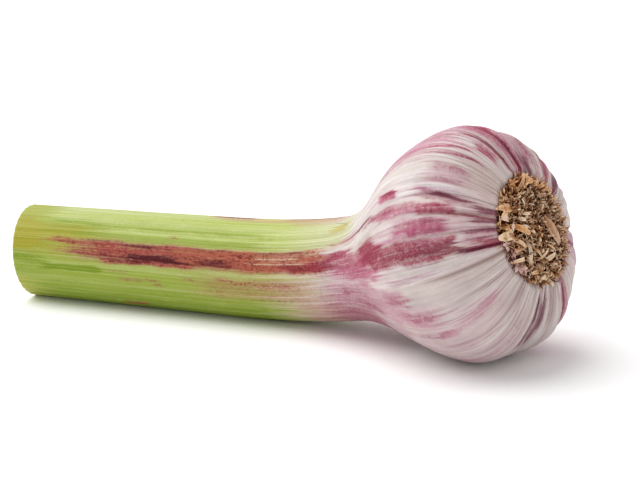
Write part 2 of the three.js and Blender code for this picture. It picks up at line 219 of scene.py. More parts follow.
# colour marks, painted in this order. Each paint has its colour, and where they aren't the usual ones: how
# much of a mark is an even wash, how far grain and streaks break up the rest, the mask values where it starts
# and is full, how much it covers, whether pale streaks show through it, and how many dark specks lie on it.
# A mark is (start, end, low, high, strength, drift, softness): mm along the skin from the cut end, degrees
# round it, degrees that it drifts on its way, and mm over which its ends fade
usualPaint = {
    "wash": 0.5, "fringe": 0.75, "starts": 0.4, "full": 0.95, "cover": 0.85, "dapple": 1, "specks": 0,
}
paints = {
    "green": {"hex": "#BAC47C", "wash": 0.85, "fringe": 0.3, "starts": 0.3, "full": 0.7, "cover": 1.0,
              "dapple": 0, "marks": [
        (-9, 80, -180, 180, 1, 0, 16), (60, 92, -176, 58, 1, 0, 14), (60, 106, 16, 50, 1, 3, 12),
    ]},
    # deep green: its broad marks low on the stalk, from about 108 to 214 degrees, are painted shade on the
    # underside; the others are the stalk's own dark green stripes
    "deepGreen": {"hex": "#869C08", "wash": 0.4, "fringe": 0.7, "full": 0.85, "marks": [
        (-9, 8, 60, 110, 0.5, 0, 8), (6, 27, 38, 51, 0.75, 0, 10), (-9, 10, 80, 88, 0.95, 2, 8),
        (8, 27, 88, 97, 0.95, 0, 4), (9, 26, 29, 34, 0.7, 2, 6), (22, 98, 47, 54, 0.5, -2, 10),
        (24, 90, 33, 36.5, 0.45, 0, 10), (5, 84, 108, 128, 0.5, 0, 10), (5, 80, 126, 152, 0.85, 0, 12),
        (10, 80, 150, 182, 0.8, 0, 12), (6, 88, 186, 214, 0.6, 0, 12), (4, 80, 240, 262, 0.7, 0, 12),
        (12, 92, 286, 300, 0.6, 0, 12), (20, 88, 322, 332, 0.5, 0, 12),
    ]},
    # pale green: its broad mark over the top of the stalk, from -34 to 27 degrees, is partly a painted
    # highlight and partly the leaf's own paler green; the others are pale streaks
    "paleGreen": {"hex": "#DCDFBC", "wash": 0.4, "fringe": 0.7, "starts": 0.35, "full": 0.85, "marks": [
        (22, 72, 37, 43, 0.7, 0, 12), (60, 100, 38, 42, 0.35, 0, 12), (74, 106, 20, 54, 0.95, 2, 12),
        (8, 104, -34, 27, 1, 0, 10), (30, 72, 54, 57, 0.45, 0, 10), (26, 60, 82, 88, 0.35, 2, 12),
        (58, 94, 81, 87, 0.6, 2, 12), (10, 96, 222, 236, 0.7, 0, 12), (20, 96, 268, 280, 0.6, 0, 12),
        (12, 96, 304, 318, 0.7, 0, 12),
    ]},
    "olive": {"hex": "#C0AC3A", "fringe": 0.6, "starts": 0.35, "full": 0.8, "marks": [
        (-9, 6, 28, 76, 0.95, 0, 8), (-9, 7, -40, 30, 0.5, 0, 8), (-9, 5, 110, 330, 0.6, 0, 8),
        (0, 24, 36, 68, 0.7, 0, 16), (4, 22, 66, 80, 0.5, 0, 10), (97, 104, 25, 37, 0.8, 0, 4),
    ]},
    "tan": {"hex": "#D0A09A", "fringe": 0.8, "cover": 0.75, "marks": [
        (56, 100, -8, 8, 0.95, 3, 8), (16, 98, 54, 83, 0.85, 0, 10), (80, 103, -24, 18, 0.7, 0, 10),
        (54, 92, 86, 112, 0.5, 0, 16), (86, 99, 118, 176, 0.8, 0, 6), (84, 99, 176, 300, 0.7, 0, 10),
        (30, 90, 206, 212, 0.7, 0, 10), (40, 95, 260, 266, 0.8, 0, 12), (70, 98, 332, 352, 0.7, 0, 10),
    ]},
    "beige": {"hex": "#D2B8B2", "fringe": 0.7, "starts": 0.35, "full": 1.0, "cover": 0.7, "marks": [
        (156, 172, -180, 180, 0.5, 0, 12), (156, 172, 22, 80, 0.7, 0, 10), (76, 98, 84, 176, 0.6, 0, 10),
        (83, 97, 104, 142, 0.8, 0, 6), (136, 168, 96, 104, 0.5, 2, 14), (118, 140, 120, 128, 0.3, 0, 14),
    ]},
    "pink": {"hex": "#CA7EA0", "cover": 0.75, "marks": [
        (124, 150, 2, 34, 0.9, -2, 14), (128, 146, 16, 27, 0.6, -2, 10), (112, 156, -90, 4, 0.7, 0, 16),
        (98, 130, 76, 91, 1, 3, 12), (96, 132, 91, 118, 0.8, 6, 10), (112, 122, 92, 100, 0.7, 2, 6),
        (126, 136, 99, 108, 0.8, 2, 3), (122, 146, 106, 122, 0.6, 4, 10), (129, 141, 111, 120, 0.6, 2, 6),
        (139, 145, 126, 132, 0.7, 0, 4), (150, 162, 116, 141, 0.45, 0, 6), (145, 161, 126, 132, 0.6, -8, 5),
        (116, 150, 126, 165, 0.45, 0, 14), (148, 158, 37, 48, 0.6, 0, 6), (126, 132, 46, 53, 0.5, 0, 5),
        (131, 160, 66, 80, 0.5, 0, 10), (100, 112, 49, 55, 0.5, 2, 6), (156, 166, 60, 90, 0.3, 0, 6),
        (96, 150, 196, 246, 0.8, 0, 16), (100, 146, 256, 300, 0.75, 0, 16), (146, 170, 232, 264, 0.6, 0, 10),
        (86, 98, 112, 176, 0.5, 0, 8),
    ]},
    "mauve": {"hex": "#A63E68", "cover": 0.8, "specks": 0.25, "marks": [
        (94, 114, 112, 180, 0.65, 0, 8), (98, 116, 118, 165, 1, 2, 8), (96, 122, 100, 120, 0.35, 0, 10),
        (116, 130, 122, 150, 0.4, 0, 12), (96, 122, 176, 214, 0.8, 0, 12), (99, 114, 92, 108, 0.45, 0, 8),
        (108, 120, 110, 116, 0.6, 3, 6), (138, 155.5, 67.5, 77, 0.6, 0, 6), (144, 155, 68, 75, 0.9, 0, 4),
        (148, 158, 37, 43, 0.75, 0, 5), (147, 158, 43.5, 47.5, 0.55, 1, 5),
        (130, 144, 112.5, 118, 0.68, 1, 8), (127, 138, 101, 108, 0.68, 2, 5),
        (132, 145, 126, 131, 0.5, 0, 5), (102, 105, 103, 106.5, 0.8, 0, 1), (144, 161, 50, 56, 0.8, 7, 6),
        (148, 160, 146, 162, 0.35, 0, 8), (162, 171, 60, 82, 0.4, 0, 4), (154, 170, 247, 255, 0.6, 0, 6),
        (148, 168, 235, 241, 0.5, 0, 8),
    ]},
    "rose": {"hex": "#B8406E", "full": 0.9, "specks": 0.35, "marks": [
        (96, 109, 60, 70, 1, 3, 6), (99, 132, 67, 84, 0.85, 3, 12), (112, 126, 84, 91, 0.55, 2, 8),
        (123, 140, 57, 61, 0.7, 1, 8), (132, 156, 57.5, 64, 0.75, 2.5, 2), (140, 155, 69, 76, 0.6, 0, 4),
        (133, 140, 56.5, 60, 0.6, 0.5, 3), (104, 126, 84, 91, 0.7, 2, 8), (113, 122, 92, 97, 0.5, 2, 6),
        (131.5, 139, 47.5, 53, 1, 1, 2), (128, 156, 29, 24, 0.6, -8, 8), (138, 157, 25, 27, 0.7, -6, 8),
        (138, 150, 6, 16, 0.4, 0, 10), (146, 160, 28.5, 31, 0.75, -3, 6), (155, 162, 9, 16, 0.75, 0, 3),
        (146, 168, -14, 2, 0.85, 0, 8), (152, 166, -30, -14, 0.6, 0, 8), (155, 168, -54, -44, 0.8, 0, 5),
        (158, 168, 76, 92, 0.6, 2, 4), (158, 170, -40, -32, 0.7, 0, 4), (126, 168, 194, 206, 0.85, 3, 8),
        (110, 150, 224, 236, 0.75, 3, 12), (104, 140, 270, 284, 0.8, 4, 12),
    ]},
    "brick": {"hex": "#BE5E54", "wash": 0.55, "fringe": 0.9, "starts": 0.45, "cover": 1.0, "dapple": 0,
              "specks": 1, "marks": [
        (10, 28, 55, 62, 0.5, 0, 8), (14, 30, 56, 74, 0.5, 4, 12), (19, 26, 70, 76, 0.6, 2, 4),
        (24, 54, 56, 72, 0.95, 0, 6), (26, 54, 71, 82, 1, -1, 4), (50, 92, 56, 61, 0.75, 0, 6),
        (56, 94, 70, 80, 0.6, 0, 8), (28, 34, 90, 94, 0.35, 0, 3), (32, 39, 98, 104, 0.5, 0, 3),
        (40, 44, 97, 101, 0.5, 0, 2), (42, 45, 102, 106, 0.45, 0, 1), (51, 55, 90, 94, 0.4, 3, 1),
        (61, 66, 89, 93, 0.45, 0, 1), (66, 84, 91, 95, 0.35, 0, 4), (31, 38, 139, 147, 0.9, 0, 4),
        (22, 56, 54, 80, 0.25, 0, 10), (56, 92, 87, 116, 0.3, 0, 10), (46, 48.5, 43, 48, 0.4, 0, 1.5),
        (30, 70, 248, 256, 0.6, 0, 12), (54, 69, -15, -2, 0.6, 0, 4), (76, 99, -14, -2, 0.6, 2, 5),
    ]},
    "rust": {"hex": "#C87058", "wash": 0.55, "fringe": 0.8, "full": 0.9, "cover": 1.0, "dapple": 0,
             "specks": 1, "marks": [
        (49, 73, 57, 78, 1, 0, 6), (70, 97, 59, 80, 0.95, 1, 6), (90, 97, 53, 59, 0.6, 0, 4),
        (22, 30, 57, 74, 0.35, 0, 6), (60, 90, 88, 110, 0.2, 0, 12),
    ]},
    "crimson": {"hex": "#A01444", "wash": 0.52, "fringe": 0.7, "full": 0.9, "cover": 0.92, "specks": 0.45,
                "marks": [
        (92, 101, 66, 80, 1, 0, 6), (81, 95, 69, 79, 0.75, 0, 5), (56, 68, 70, 77, 0.5, 0, 5),
        (97, 106, 60, 67, 0.75, 3, 5), (100, 128, 72, 80, 0.45, 3, 14), (117, 131, 68, 83, 0.95, 2, 7),
        (126, 156, 75.5, 87.5, 1, 3, 2.5), (155, 168, 86.5, 90.5, 1, 3, 3), (161, 168, 83, 91, 0.8, 2, 3),
        (128, 156, 58.5, 60.5, 0.55, 2.5, 3), (146, 156, 60.5, 66, 0.8, 1, 2),
        (155, 167, 65.5, 67.5, 0.8, 3, 3), (133, 138.5, 48.5, 51.5, 1, 0, 2),
        (97, 127, 50.5, 52.5, 0.8, 5.5, 4), (98, 112, 52, 58, 0.3, 2, 6), (94, 104, 104, 112, 0.35, 3, 6),
        (94, 116, 119, 165, 0.4, 2, 8), (134, 156, 30, 28, 0.6, -9, 6), (148, 160, 30, 31.5, 0.8, -4, 5),
        (140, 157, 23.5, 24.5, 0.75, -5, 6), (146, 160, 17, 18, 0.5, -2, 6), (150, 166, 5, 7, 0.6, 2, 5),
        (151, 169, 4, 8.5, 0.85, -1, 6), (156, 161, 11, 15, 0.5, 0, 3), (147, 170, -11, -3, 1, 0, 6),
        (136, 150, 12, 13.5, 0.5, -4, 5), (128, 142, 33, 34.5, 0.45, -4, 6),
        (140, 160, 34.5, 35.5, 0.45, -2, 6), (156, 168, -51, -46, 0.7, 0, 5),
        (130, 170, 246, 252, 0.9, -3, 8), (134, 168, 292, 298, 0.85, 2, 8),
        (120, 160, 316, 321, 0.7, -4, 10), (138, 166, -34, -29, 0.7, 2, 8),
    ]},
    "plum": {"hex": "#761642", "wash": 0.65, "fringe": 0.55, "starts": 0.45, "dapple": 0, "specks": 0.3,
             "marks": [
        (119, 130, 73, 82, 0.35, 0, 6), (112, 128, 53, 54.5, 0.8, 3, 4), (148, 155, 69.5, 71, 0.6, 0, 2),
        (149, 155, 74, 75, 0.5, 0, 2), (132, 156, 80, 84, 0.4, 2, 3), (146, 156, 79, 87, 0.35, 3, 2),
        (154, 169, 87.5, 90, 1, 3.5, 3), (158, 168, 78, 80, 0.7, 0, 3), (159, 168, 82, 83.5, 0.6, 1, 3),
        (161, 172, 60, 66, 0.95, 0, 5), (161, 172, 69, 73, 0.8, 0, 6), (160, 172, 76, 79, 0.7, 0, 5),
        (148, 161, 52, 54.5, 0.85, 6, 6), (134.5, 138, 48.5, 50, 0.8, 0, 2), (150, 165, 162, 167, 1, 0, 4),
        (150, 164, 168, 178, 1, 0, 4), (163, 171, 166, 172, 0.5, 0, 5), (156, 170, 181, 185, 0.6, 0, 6),
        (148, 172, -10, -5, 0.8, 0, 6), (162, 172, -26, -12, 0.9, 0, 4), (158, 170, -66, -58, 0.95, 0, 5),
        (152, 169, 5, 7.5, 0.6, -1, 5), (150, 156, 21, 22, 0.5, 0, 3), (132, 168, 198, 201, 0.8, 3, 8),
        (136, 170, 247, 250, 0.8, -3, 8), (140, 168, 293, 296, 0.7, 2, 8),
    ]},
    "maroon": {"hex": "#4E0C1C", "wash": 0.45, "fringe": 0.9, "starts": 0.35, "full": 1.2, "cover": 1.0,
               "dapple": 0, "specks": 0.8, "marks": [
        (35, 51, 69, 78, 1, 0, 6), (20, 60, 56, 80, 0.3, 0, 12), (56, 96, 56, 80, 0.22, 0, 12),
        (27, 38, 72, 80, 0.7, 1, 6), (34, 44, 56, 62, 0.65, 0, 5), (46, 66, 55.5, 57.5, 0.45, 0, 6),
        (18, 34, 55, 58, 0.45, 0, 6), (56, 66, 69, 77, 0.75, 0, 5), (83, 93, 70, 78, 0.3, 0, 6),
        (74, 90, 55.5, 58.5, 0.4, 0, 6), (95, 100, 69, 77, 0.3, 0, 4), (116, 121, 54.5, 56.5, 0.6, 1, 2),
        (55, 68, -14, -4, 0.45, 0, 4), (153, 160.5, 167, 176, 0.35, 0, 3), (77, 98, -13, -4, 0.4, 2, 5),
    ]},
    "straw": {"hex": "#E2CDB0", "wash": 0.7, "fringe": 0.4, "starts": 0.3, "full": 0.7, "dapple": 0,
              "marks": [
        (72, 87, 63.4, 64.8, 1, 0, 4), (72, 91, 69.2, 70.4, 1, 0, 5), (78, 90, 66.6, 67.4, 0.7, 0, 6),
        (67, 78, -12, 3, 0.7, 0, 4),
    ]},
}
paints = {key: dict(usualPaint, **paint) for key, paint in paints.items()}

# where the skin low on the head lies smooth and tight, laid out like a mark; the material darkens it there
# evenly as painted shade
calmAndShadeMarks = [(104, 160, 98, 196, 0.95, 0, 22)]

# folds in the skin by the root plate: start, end, degrees at each, depth in mm, width in degrees
folds = [
    (150, 169, 87, 92.5, 0.9, 1.8), (140, 168, 99, 101, 0.35, 1.6), (158, 168, 103, 112, 0.3, 1.5),
    (150, 168, 137, 137, 0.4, 1.6), (152, 168, 166, 165, 0.5, 1.5), (152, 168, 171, 171, 0.6, 1.6),
    (144, 168, 52, 63, 0.45, 1.6), (146, 168, 46, 53, 0.4, 1.5), (150, 168, 36, 44, 0.35, 1.4),
    (146, 168, 30, 27, 0.4, 1.5), (148, 168, 20, 19, 0.35, 1.4), (150, 168, 5, 4, 0.5, 1.6),
    (144, 168, -9, -8, 0.6, 1.8), (150, 168, -20, -21, 0.45, 1.5), (154, 168, -48, -47, 0.55, 1.8),
    (152, 168, -63, -61, 0.55, 1.8), (154, 168, 66, 70, 0.4, 1.4), (157, 168, 79, 80, 0.4, 1.3),
    (157, 168, 83, 85, 0.3, 1.2), (150, 168, 112, 116, 0.35, 1.5), (152, 168, 120, 125, 0.35, 1.5),
    (152, 168, 128, 131, 0.3, 1.4), (152, 168, 146, 147, 0.4, 1.5), (150, 168, 155, 156, 0.35, 1.4),
    (150, 168, 186, 188, 0.5, 1.6), (148, 168, 199, 202, 0.5, 1.6), (152, 168, 212, 211, 0.4, 1.5),
    (146, 168, 229, 231, 0.5, 1.7), (150, 168, 241, 244, 0.4, 1.5), (146, 168, 262, 259, 0.5, 1.7),
    (152, 168, 274, 276, 0.4, 1.5), (148, 168, 287, 290, 0.5, 1.6), (152, 168, 304, 303, 0.4, 1.5),
    (148, 168, 318, 315, 0.5, 1.6), (152, 168, 333, 335, 0.4, 1.5),
]


def foldDepth(m, degrees):
    # a narrow groove with a low roll of skin beside it
    depth = np.zeros(m.shape)
    for start, end, first, last, deep, width in folds:
        share = np.clip((m - start) / (end - start), 0, 1)
        away = apart(degrees, first + (last - first) * share)
        groove = np.exp(-(away / width) ** 2) - 0.45 * np.exp(-((away + 2.2 * width) / (1.6 * width)) ** 2)
        depth += deep * groove * smooth(m, start, start + 11)
    return depth


def markMask(marks, m, degrees):
    # how strongly a colour's marks cover each place: their ends run out in streaks and their sides wander
    clear = np.ones(m.shape)
    turn = np.radians(degrees)
    waves = ((61, 0), (97, 2), (143, 4), (197, 1), (29, 3))
    streaks = sum(np.sin(rate * turn + lag) for rate, lag in waves) / 3
    wander = 0.5 * np.sin(m / 3.1 + 5 * turn) + 0.35 * np.sin(m / 1.3 + 9 * turn + 1)
    for start, end, low, high, strength, drift, softness in marks:
        middle = (low + high) / 2 + drift * np.clip((m - start) / (end - start), 0, 1)
        half = abs(high - low) / 2
        edge = min(max(0.4 * half, 0.6), 6.0)
        away = np.abs(apart(degrees + wander * min(0.35 * half, 1.5), middle))
        across = 1 - smooth(away, half - edge, half + edge) if half < 179 else 1.0
        place = m + 0.45 * softness * streaks
        fade = 0.4 * softness
        along = smooth(place, start - fade, start + fade) * (1 - smooth(place, end - fade, end + fade))
        clear = clear * (1 - np.clip(strength * across * along, 0, 1))
    return 1 - clear


def ringMesh(name, s, degrees, radius, fields):
    # a closed mesh from rows of rings; the first and last rows are single points
    rows, columns = s.shape
    outward = outwardAt(s, degrees)
    points = centreAt(s) + outward * radius[..., None]
    points[..., 2] = np.maximum(points[..., 2], 0)
    column = np.arange(columns)
    after = (column + 1) % columns
    starts = 1 + np.arange(rows - 2) * columns
    low, high = starts[:-1, None], starts[1:, None]
    quads = np.stack([low + column, low + after, high + after, high + column], -1).reshape(-1, 4)
    pole = 1 + (rows - 2) * columns
    first = np.stack([0 * column, starts[0] + after, starts[0] + column], 1)
    last = np.stack([starts[-1] + column, starts[-1] + after, 0 * column + pole], 1)
    mesh = bpy.data.meshes.new(name)

    def flat(grid):
        return np.concatenate([grid[0, :1], grid[1:-1].reshape((-1,) + grid.shape[2:]), grid[-1, :1]])

    mesh.from_pydata((flat(points) * mm).tolist(), [], first.tolist() + quads.tolist() + last.tolist())
    mesh.polygons.foreach_set("use_smooth", [True] * len(mesh.polygons))
    for key, value in dict(fields, outward=outward).items():
        value = flat(value).astype(np.float32)
        layer = mesh.attributes.new(key, "FLOAT_VECTOR" if value.ndim > 1 else "FLOAT", "POINT")
        layer.data.foreach_set("vector" if value.ndim > 1 else "value", value.ravel())
    piece = bpy.data.objects.new(name, mesh)
    scene.collection.objects.link(piece)
    return piece


def sheathFields(s, degrees):
    # what the trees and materials read: place on the skin, colour masks, rib phase
    m = np.interp(s, tableS, tableM)
    turn = np.radians(degrees)
    fields = {key: markMask(paint["marks"], m, degrees) for key, paint in paints.items()}
    fields["red"] = np.maximum.reduce([paint["specks"] * fields[key] for key, paint in paints.items()])
    fields["straight"] = np.stack([shape["tube"] * np.cos(turn), shape["tube"] * np.sin(turn), m], -1)
    fields["past"] = s - shape["stalkLength"]
    fields["fold"] = foldDepth(m, degrees)
    fields["calm"] = markMask(calmAndShadeMarks, m, degrees)
    fields["ribPhase"] = (degrees + 1.6 * np.sin(3 * turn) + 0.9 * np.sin(7 * turn + 1)) / 12
    return fields


def newTree(name, inputs):
    # an empty Geometry Nodes tree with named inputs
    tree = bpy.data.node_groups.new(name, "GeometryNodeTree")
    tree.interface.new_socket(name="Geometry", in_out="OUTPUT", socket_type="NodeSocketGeometry")
    tree.interface.new_socket(name="Geometry", in_out="INPUT", socket_type="NodeSocketGeometry")
    for key, kind in inputs.items():
        tree.interface.new_socket(name=key, in_out="INPUT", socket_type="NodeSocket" + kind)
    return tree, tree.nodes.new("NodeGroupInput").outputs


def closeTree(tree, given, geometry):
    # ends a tree: copies become real mesh, and the material goes on
    real = addNode(tree, "GeometryNodeRealizeInstances", {0: geometry})
    dressed = addNode(tree, "GeometryNodeSetMaterial", {"Geometry": real, "Material": given["Material"]})
    addNode(tree, "NodeGroupOutput", {0: dressed})


def runTree(piece, tree, values):
    # leaves the tree's result in the piece as a plain mesh
    modifier = piece.modifiers.new(tree.name, "NODES")
    modifier.node_group = tree
    for item in tree.interface.items_tree:
        if item.in_out == "INPUT" and item.name in values:
            modifier[item.identifier] = values[item.name]
    ready = piece.evaluated_get(bpy.context.evaluated_depsgraph_get())
    made = bpy.data.meshes.new_from_object(ready)
    piece.modifiers.remove(modifier)
    piece.data = made
    made.name = piece.name


def sheathTree():
    # pleats gathered at the root plate, fine wrinkles between them, ribs along the stalk
    tree, given = newTree("raiseSheath", {
        "Pleat Depth": "Float", "Pleat Sharpness": "Float", "Fold Depth": "Float", "Wrinkle Depth": "Float",
        "Wrinkle Width": "Float", "Rib Depth": "Float", "Fine Rib Depth": "Float", "Material": "Material",
    })
    field = {}
    for key in ("past", "pleatPhase", "pleatHeight", "pleatStart", "ribPhase", "fold", "calm", "outside"):
        field[key] = addNode(tree, "GeometryNodeInputNamedAttribute", {"Name": key}, data_type="FLOAT")
    for key in ("outward", "straight"):
        field[key] = addNode(tree, "GeometryNodeInputNamedAttribute", {"Name": key}, data_type="FLOAT_VECTOR")

    # pleats: rounded crests with sharp valleys between them
    gathered = addNode(tree, "MapRange", {"Value": field["past"], "From Min": field["pleatStart"],
                                          "From Max": 15.0}, interpolation_type="SMOOTHSTEP")
    pleat = field["pleatPhase"]
    for operation, *others in (("MULTIPLY", math.pi), ("SINE",), ("ABSOLUTE",),
                               ("POWER", given["Pleat Sharpness"]), ("SUBTRACT", 0.7),
                               ("MULTIPLY", field["pleatHeight"]), ("MULTIPLY", gathered)):
        pleat = addNode(tree, "Math", dict(enumerate([pleat] + others)), operation=operation)
    fold = addNode(tree, "Math", {0: field["fold"], 1: given["Fold Depth"]}, operation="MULTIPLY")
    height = addNode(tree, "Math", {0: pleat, 1: given["Pleat Depth"]}, operation="MULTIPLY")
    height = addNode(tree, "Math", {0: height, 1: fold}, operation="SUBTRACT")

    # wrinkles deepen towards the plate and are shallow on tight skin; ribs fade out on the neck
    near, onStalk = [
        addNode(tree, "MapRange", {"Value": field["past"], "From Min": start, "From Max": end,
                                   "To Min": before, "To Max": after}, interpolation_type="SMOOTHSTEP")
        for start, end, before, after in ((-30, 14, 0.25, 1), (-46, -20, 1, 0))]
    tight = addNode(tree, "MapRange", {"Value": field["calm"], "To Min": 1.0, "To Max": 0.35})
    ribs = addNode(tree, "Math", {0: field["ribPhase"], 1: 2 * math.pi}, operation="MULTIPLY")
    ribs = addNode(tree, "Math", {0: ribs}, operation="COSINE")
    ribs = addNode(tree, "Math", {0: ribs, 1: onStalk}, operation="MULTIPLY")
    height = addNode(tree, "Math", {0: ribs, 1: given["Rib Depth"], 2: height}, operation="MULTIPLY_ADD")
    narrow = addNode(tree, "Math", {0: 1.0, 1: given["Wrinkle Width"]}, operation="DIVIDE")
    for stretch, scale, shares, depth in (((1, 1, 0.07), narrow, (near, tight), "Wrinkle Depth"),
                                          ((1.1, 1.1, 0.02), 1.0, (onStalk,), "Fine Rib Depth")):
        place = addNode(tree, "VectorMath", {0: field["straight"], 1: stretch}, operation="MULTIPLY")
        relief = addNode(tree, "TexNoise", {"Vector": place, "Scale": scale, "Detail": 2.0})
        relief = addNode(tree, "Math", {0: relief, 1: 0.5}, operation="SUBTRACT")
        for share in shares:
            relief = addNode(tree, "Math", {0: relief, 1: share}, operation="MULTIPLY")
        height = addNode(tree, "Math", {0: relief, 1: given[depth], 2: height}, operation="MULTIPLY_ADD")

    # only outside skin is raised, and nothing goes below the ground
    for factor in (field["outside"], mm):
        height = addNode(tree, "Math", {0: height, 1: factor}, operation="MULTIPLY")
    offset = addNode(tree, "VectorMath", {0: field["outward"], "Scale": height}, operation="SCALE")
    raised = addNode(tree, "GeometryNodeSetPosition", {"Geometry": given["Geometry"], "Offset": offset})
    place = addNode(tree, "GeometryNodeInputPosition")
    place = addNode(tree, "VectorMath", {0: place, 1: (-9, -9, 0)}, operation="MAXIMUM")
    raised = addNode(tree, "GeometryNodeSetPosition", {"Geometry": raised, "Position": place})

    # valleys are remembered for the material
    valley = addNode(tree, "Math", {0: fold, 1: pleat}, operation="SUBTRACT")
    raised = addNode(tree, "GeometryNodeStoreNamedAttribute", {
        "Geometry": raised, "Name": "valley", "Value": valley}, data_type="FLOAT", domain="POINT")
    closeTree(tree, given, raised)
    return tree


# noises on the skin: how little they are drawn out along it, repeats to the mm across it, and detail
skinNoises = {
    "streak": (0.03, 1.8, 5.0), "cloud": (0.2, 0.3, 3.0), "grain": (0.3, 4.0, 4.0), "speck": (0.6, 1.5, 3.0),
    "dot": (0.85, 3.0, 2.0), "line": (0.006, 1.7, 3.0), "crack": (0.012, 0.85, 1.5),
}
# and what is added up from them
noiseSums = {
    "broken": {"streak": 0.55, "cloud": 0.25, "grain": 0.4, "speck": 0.25},   # ragged edges of paints
    "pale": {"dot": 0.3, "grain": 1.0, "streak": 1.5},   # streaks where the ground shows through them
    "dark": {"cloud": 0.4, "speck": 0.9, "dot": 0.7},    # specks on red
    "vein": {"line": 0.6, "streak": 1.0},
    "lines": {"grain": 0.35, "line": 1.0},
}


def sheathMaterial(name, values):
    # thin dry leaf: satin, so its highlights are broad and soft, and light sinks in, so its shade is warm
    material = bpy.data.materials.new(name)
    material.use_nodes = True
    tree = material.node_tree
    tree.nodes.clear()
    straight = addNode(tree, "Attribute", out=1, attribute_name="straight")
    past, red, calm, valley, face, recessShade = [addNode(tree, "Attribute", out=2, attribute_name=key) for key in
                                            ("past", "red", "calm", "valley", "face", "faceDepth")]
    noise = {}
    for key, (along, scale, detail) in skinNoises.items():
        place = addNode(tree, "VectorMath", {0: straight, 1: (1, 1, along)}, operation="MULTIPLY")
        value = addNode(tree, "TexNoise", {"Vector": place, "Scale": scale, "Detail": detail,
                                           "Roughness": 0.65})
        noise[key] = addNode(tree, "MapRange", {"Value": value, "From Min": 0.3, "From Max": 0.7,
                                                "To Min": -1.0})
    for key, shares in noiseSums.items():
        noise[key] = 0.0
        for part, share in shares.items():
            noise[key] = addNode(tree, "Math", {0: noise[part], 1: share, 2: noise[key]},
                                 operation="MULTIPLY_ADD")
    crack = addNode(tree, "Math", {0: noise["crack"]}, operation="ABSOLUTE")

    # what each amounts to between two values, and at them; past the widest section is in mm
    share = {}
    for key, value, start, end, before, after, ease in (
            ("onHead", past, -30, -5, 0, values["veinColour"], "LINEAR"),
            ("offStalk", past, -58, -40, 0, 1, "LINEAR"),
            ("gathered", past, -22, 18, 0, 1, "SMOOTHSTEP"),
            ("tight", calm, 0, 1, 1, 0.4, "LINEAR"),
            ("cloud", noise["cloud"], -1, 1, 0, 1, "LINEAR"),
            ("vein", noise["vein"], 0.1, 1.1, 0, 1, "LINEAR"),
            ("pale", noise["pale"], -0.2, 1.5, 1, 1 - values["dapple"], "LINEAR"),
            ("dark", noise["dark"], -0.1, 1.1, 0, values["specks"], "LINEAR"),
            ("lines", noise["lines"], 1.3, -1.1, 0, values["lines"], "LINEAR"),
            ("crack", crack, 0, 0.16, 1, 0, "LINEAR"),
            ("valley", valley, 0.15, 0.8, 0, 1, "LINEAR")):
        share[key] = addNode(tree, "MapRange", {
            "Value": value, "From Min": start, "From Max": end, "To Min": before, "To Max": after,
        }, interpolation_type=ease)
    for key, factor in (("vein", share["onHead"]), ("dark", red), ("crack", share["gathered"]),
                        ("crack", share["tight"])):
        share[key] = addNode(tree, "Math", {0: share[key], 1: factor}, operation="MULTIPLY")

    # lines are fainter where the skin is tight, and that skin, low on the head, is darkened evenly as painted
    # shade; lines are neutral off the stalk and on red
    paintedShade = addNode(tree, "Math", {0: calm, 1: values["undersideShade"]}, operation="MULTIPLY")
    dim = addNode(tree, "Math", {0: share["lines"], 1: share["tight"], 2: paintedShade}, operation="MULTIPLY_ADD")
    neutral = addNode(tree, "Math", {0: share["offStalk"], 1: red}, operation="MAXIMUM")

    # valleys, and cracks between tiny folds near the root plate, are darkened as painted shade
    deep = addNode(tree, "Math", {0: share["crack"], 1: 0.8, 2: share["valley"]}, operation="MULTIPLY_ADD")
    for operation, limit in (("MULTIPLY", values["creaseShade"]), ("MINIMUM", 1.0)):
        deep = addNode(tree, "Math", {0: deep, 1: limit}, operation=operation)

    # layers of colour: base and veins, each paint broken up by streaks and grain, then dark specks on the
    # red, lines with the painted shade low on the head, painted shade in valleys and cracks, and the cut
    # face, whose rings are painted shade, darker where a sheath end is sunk deeper
    colour, rib, cut = [
        addNode(tree, "Mix", {"Factor": factor, "A": linear(values[first]), "B": linear(values[second])},
                data_type="RGBA")
        for factor, first, second in ((share["cloud"], "light", "shade"), (neutral, "rib", "headLinesAndShade"),
                                      (recessShade, "cutLight", "cutRecessShade"))]
    layers = [(share["vein"], linear(values["vein"]), "MIX")]
    for key, paint in paints.items():
        mask = addNode(tree, "Attribute", out=2, attribute_name=key)
        ragged = addNode(tree, "Math", {0: noise["broken"], 1: paint["fringe"], 2: mask},
                         operation="MULTIPLY_ADD")
        body = addNode(tree, "MapRange", {"Value": ragged, "From Min": paint["starts"],
                                          "From Max": paint["full"]}, interpolation_type="SMOOTHSTEP")
        ground = addNode(tree, "MapRange", {"Value": mask, "From Min": 0.02, "From Max": 0.2})
        body = addNode(tree, "Math", {0: body, 1: ground}, operation="MULTIPLY")
        cover = addNode(tree, "Mix", {"Factor": paint["wash"], "A": body, "B": mask}, data_type="FLOAT")
        for factor in [paint["cover"]] + [share["pale"]] * paint["dapple"]:
            cover = addNode(tree, "Math", {0: cover, 1: factor}, operation="MULTIPLY")
        layers.append((cover, linear(paint["hex"]), "MIX"))
    layers += [(share["dark"], linear(values["speck"]), "MIX"), (dim, rib, "MULTIPLY"),
               (deep, linear(values["crease"]), "MULTIPLY"), (face, cut, "MIX")]
    for cover, tint, blend in layers:
        colour = addNode(tree, "Mix", {"Factor": cover, "A": colour, "B": tint}, data_type="RGBA",
                         blend_type=blend)

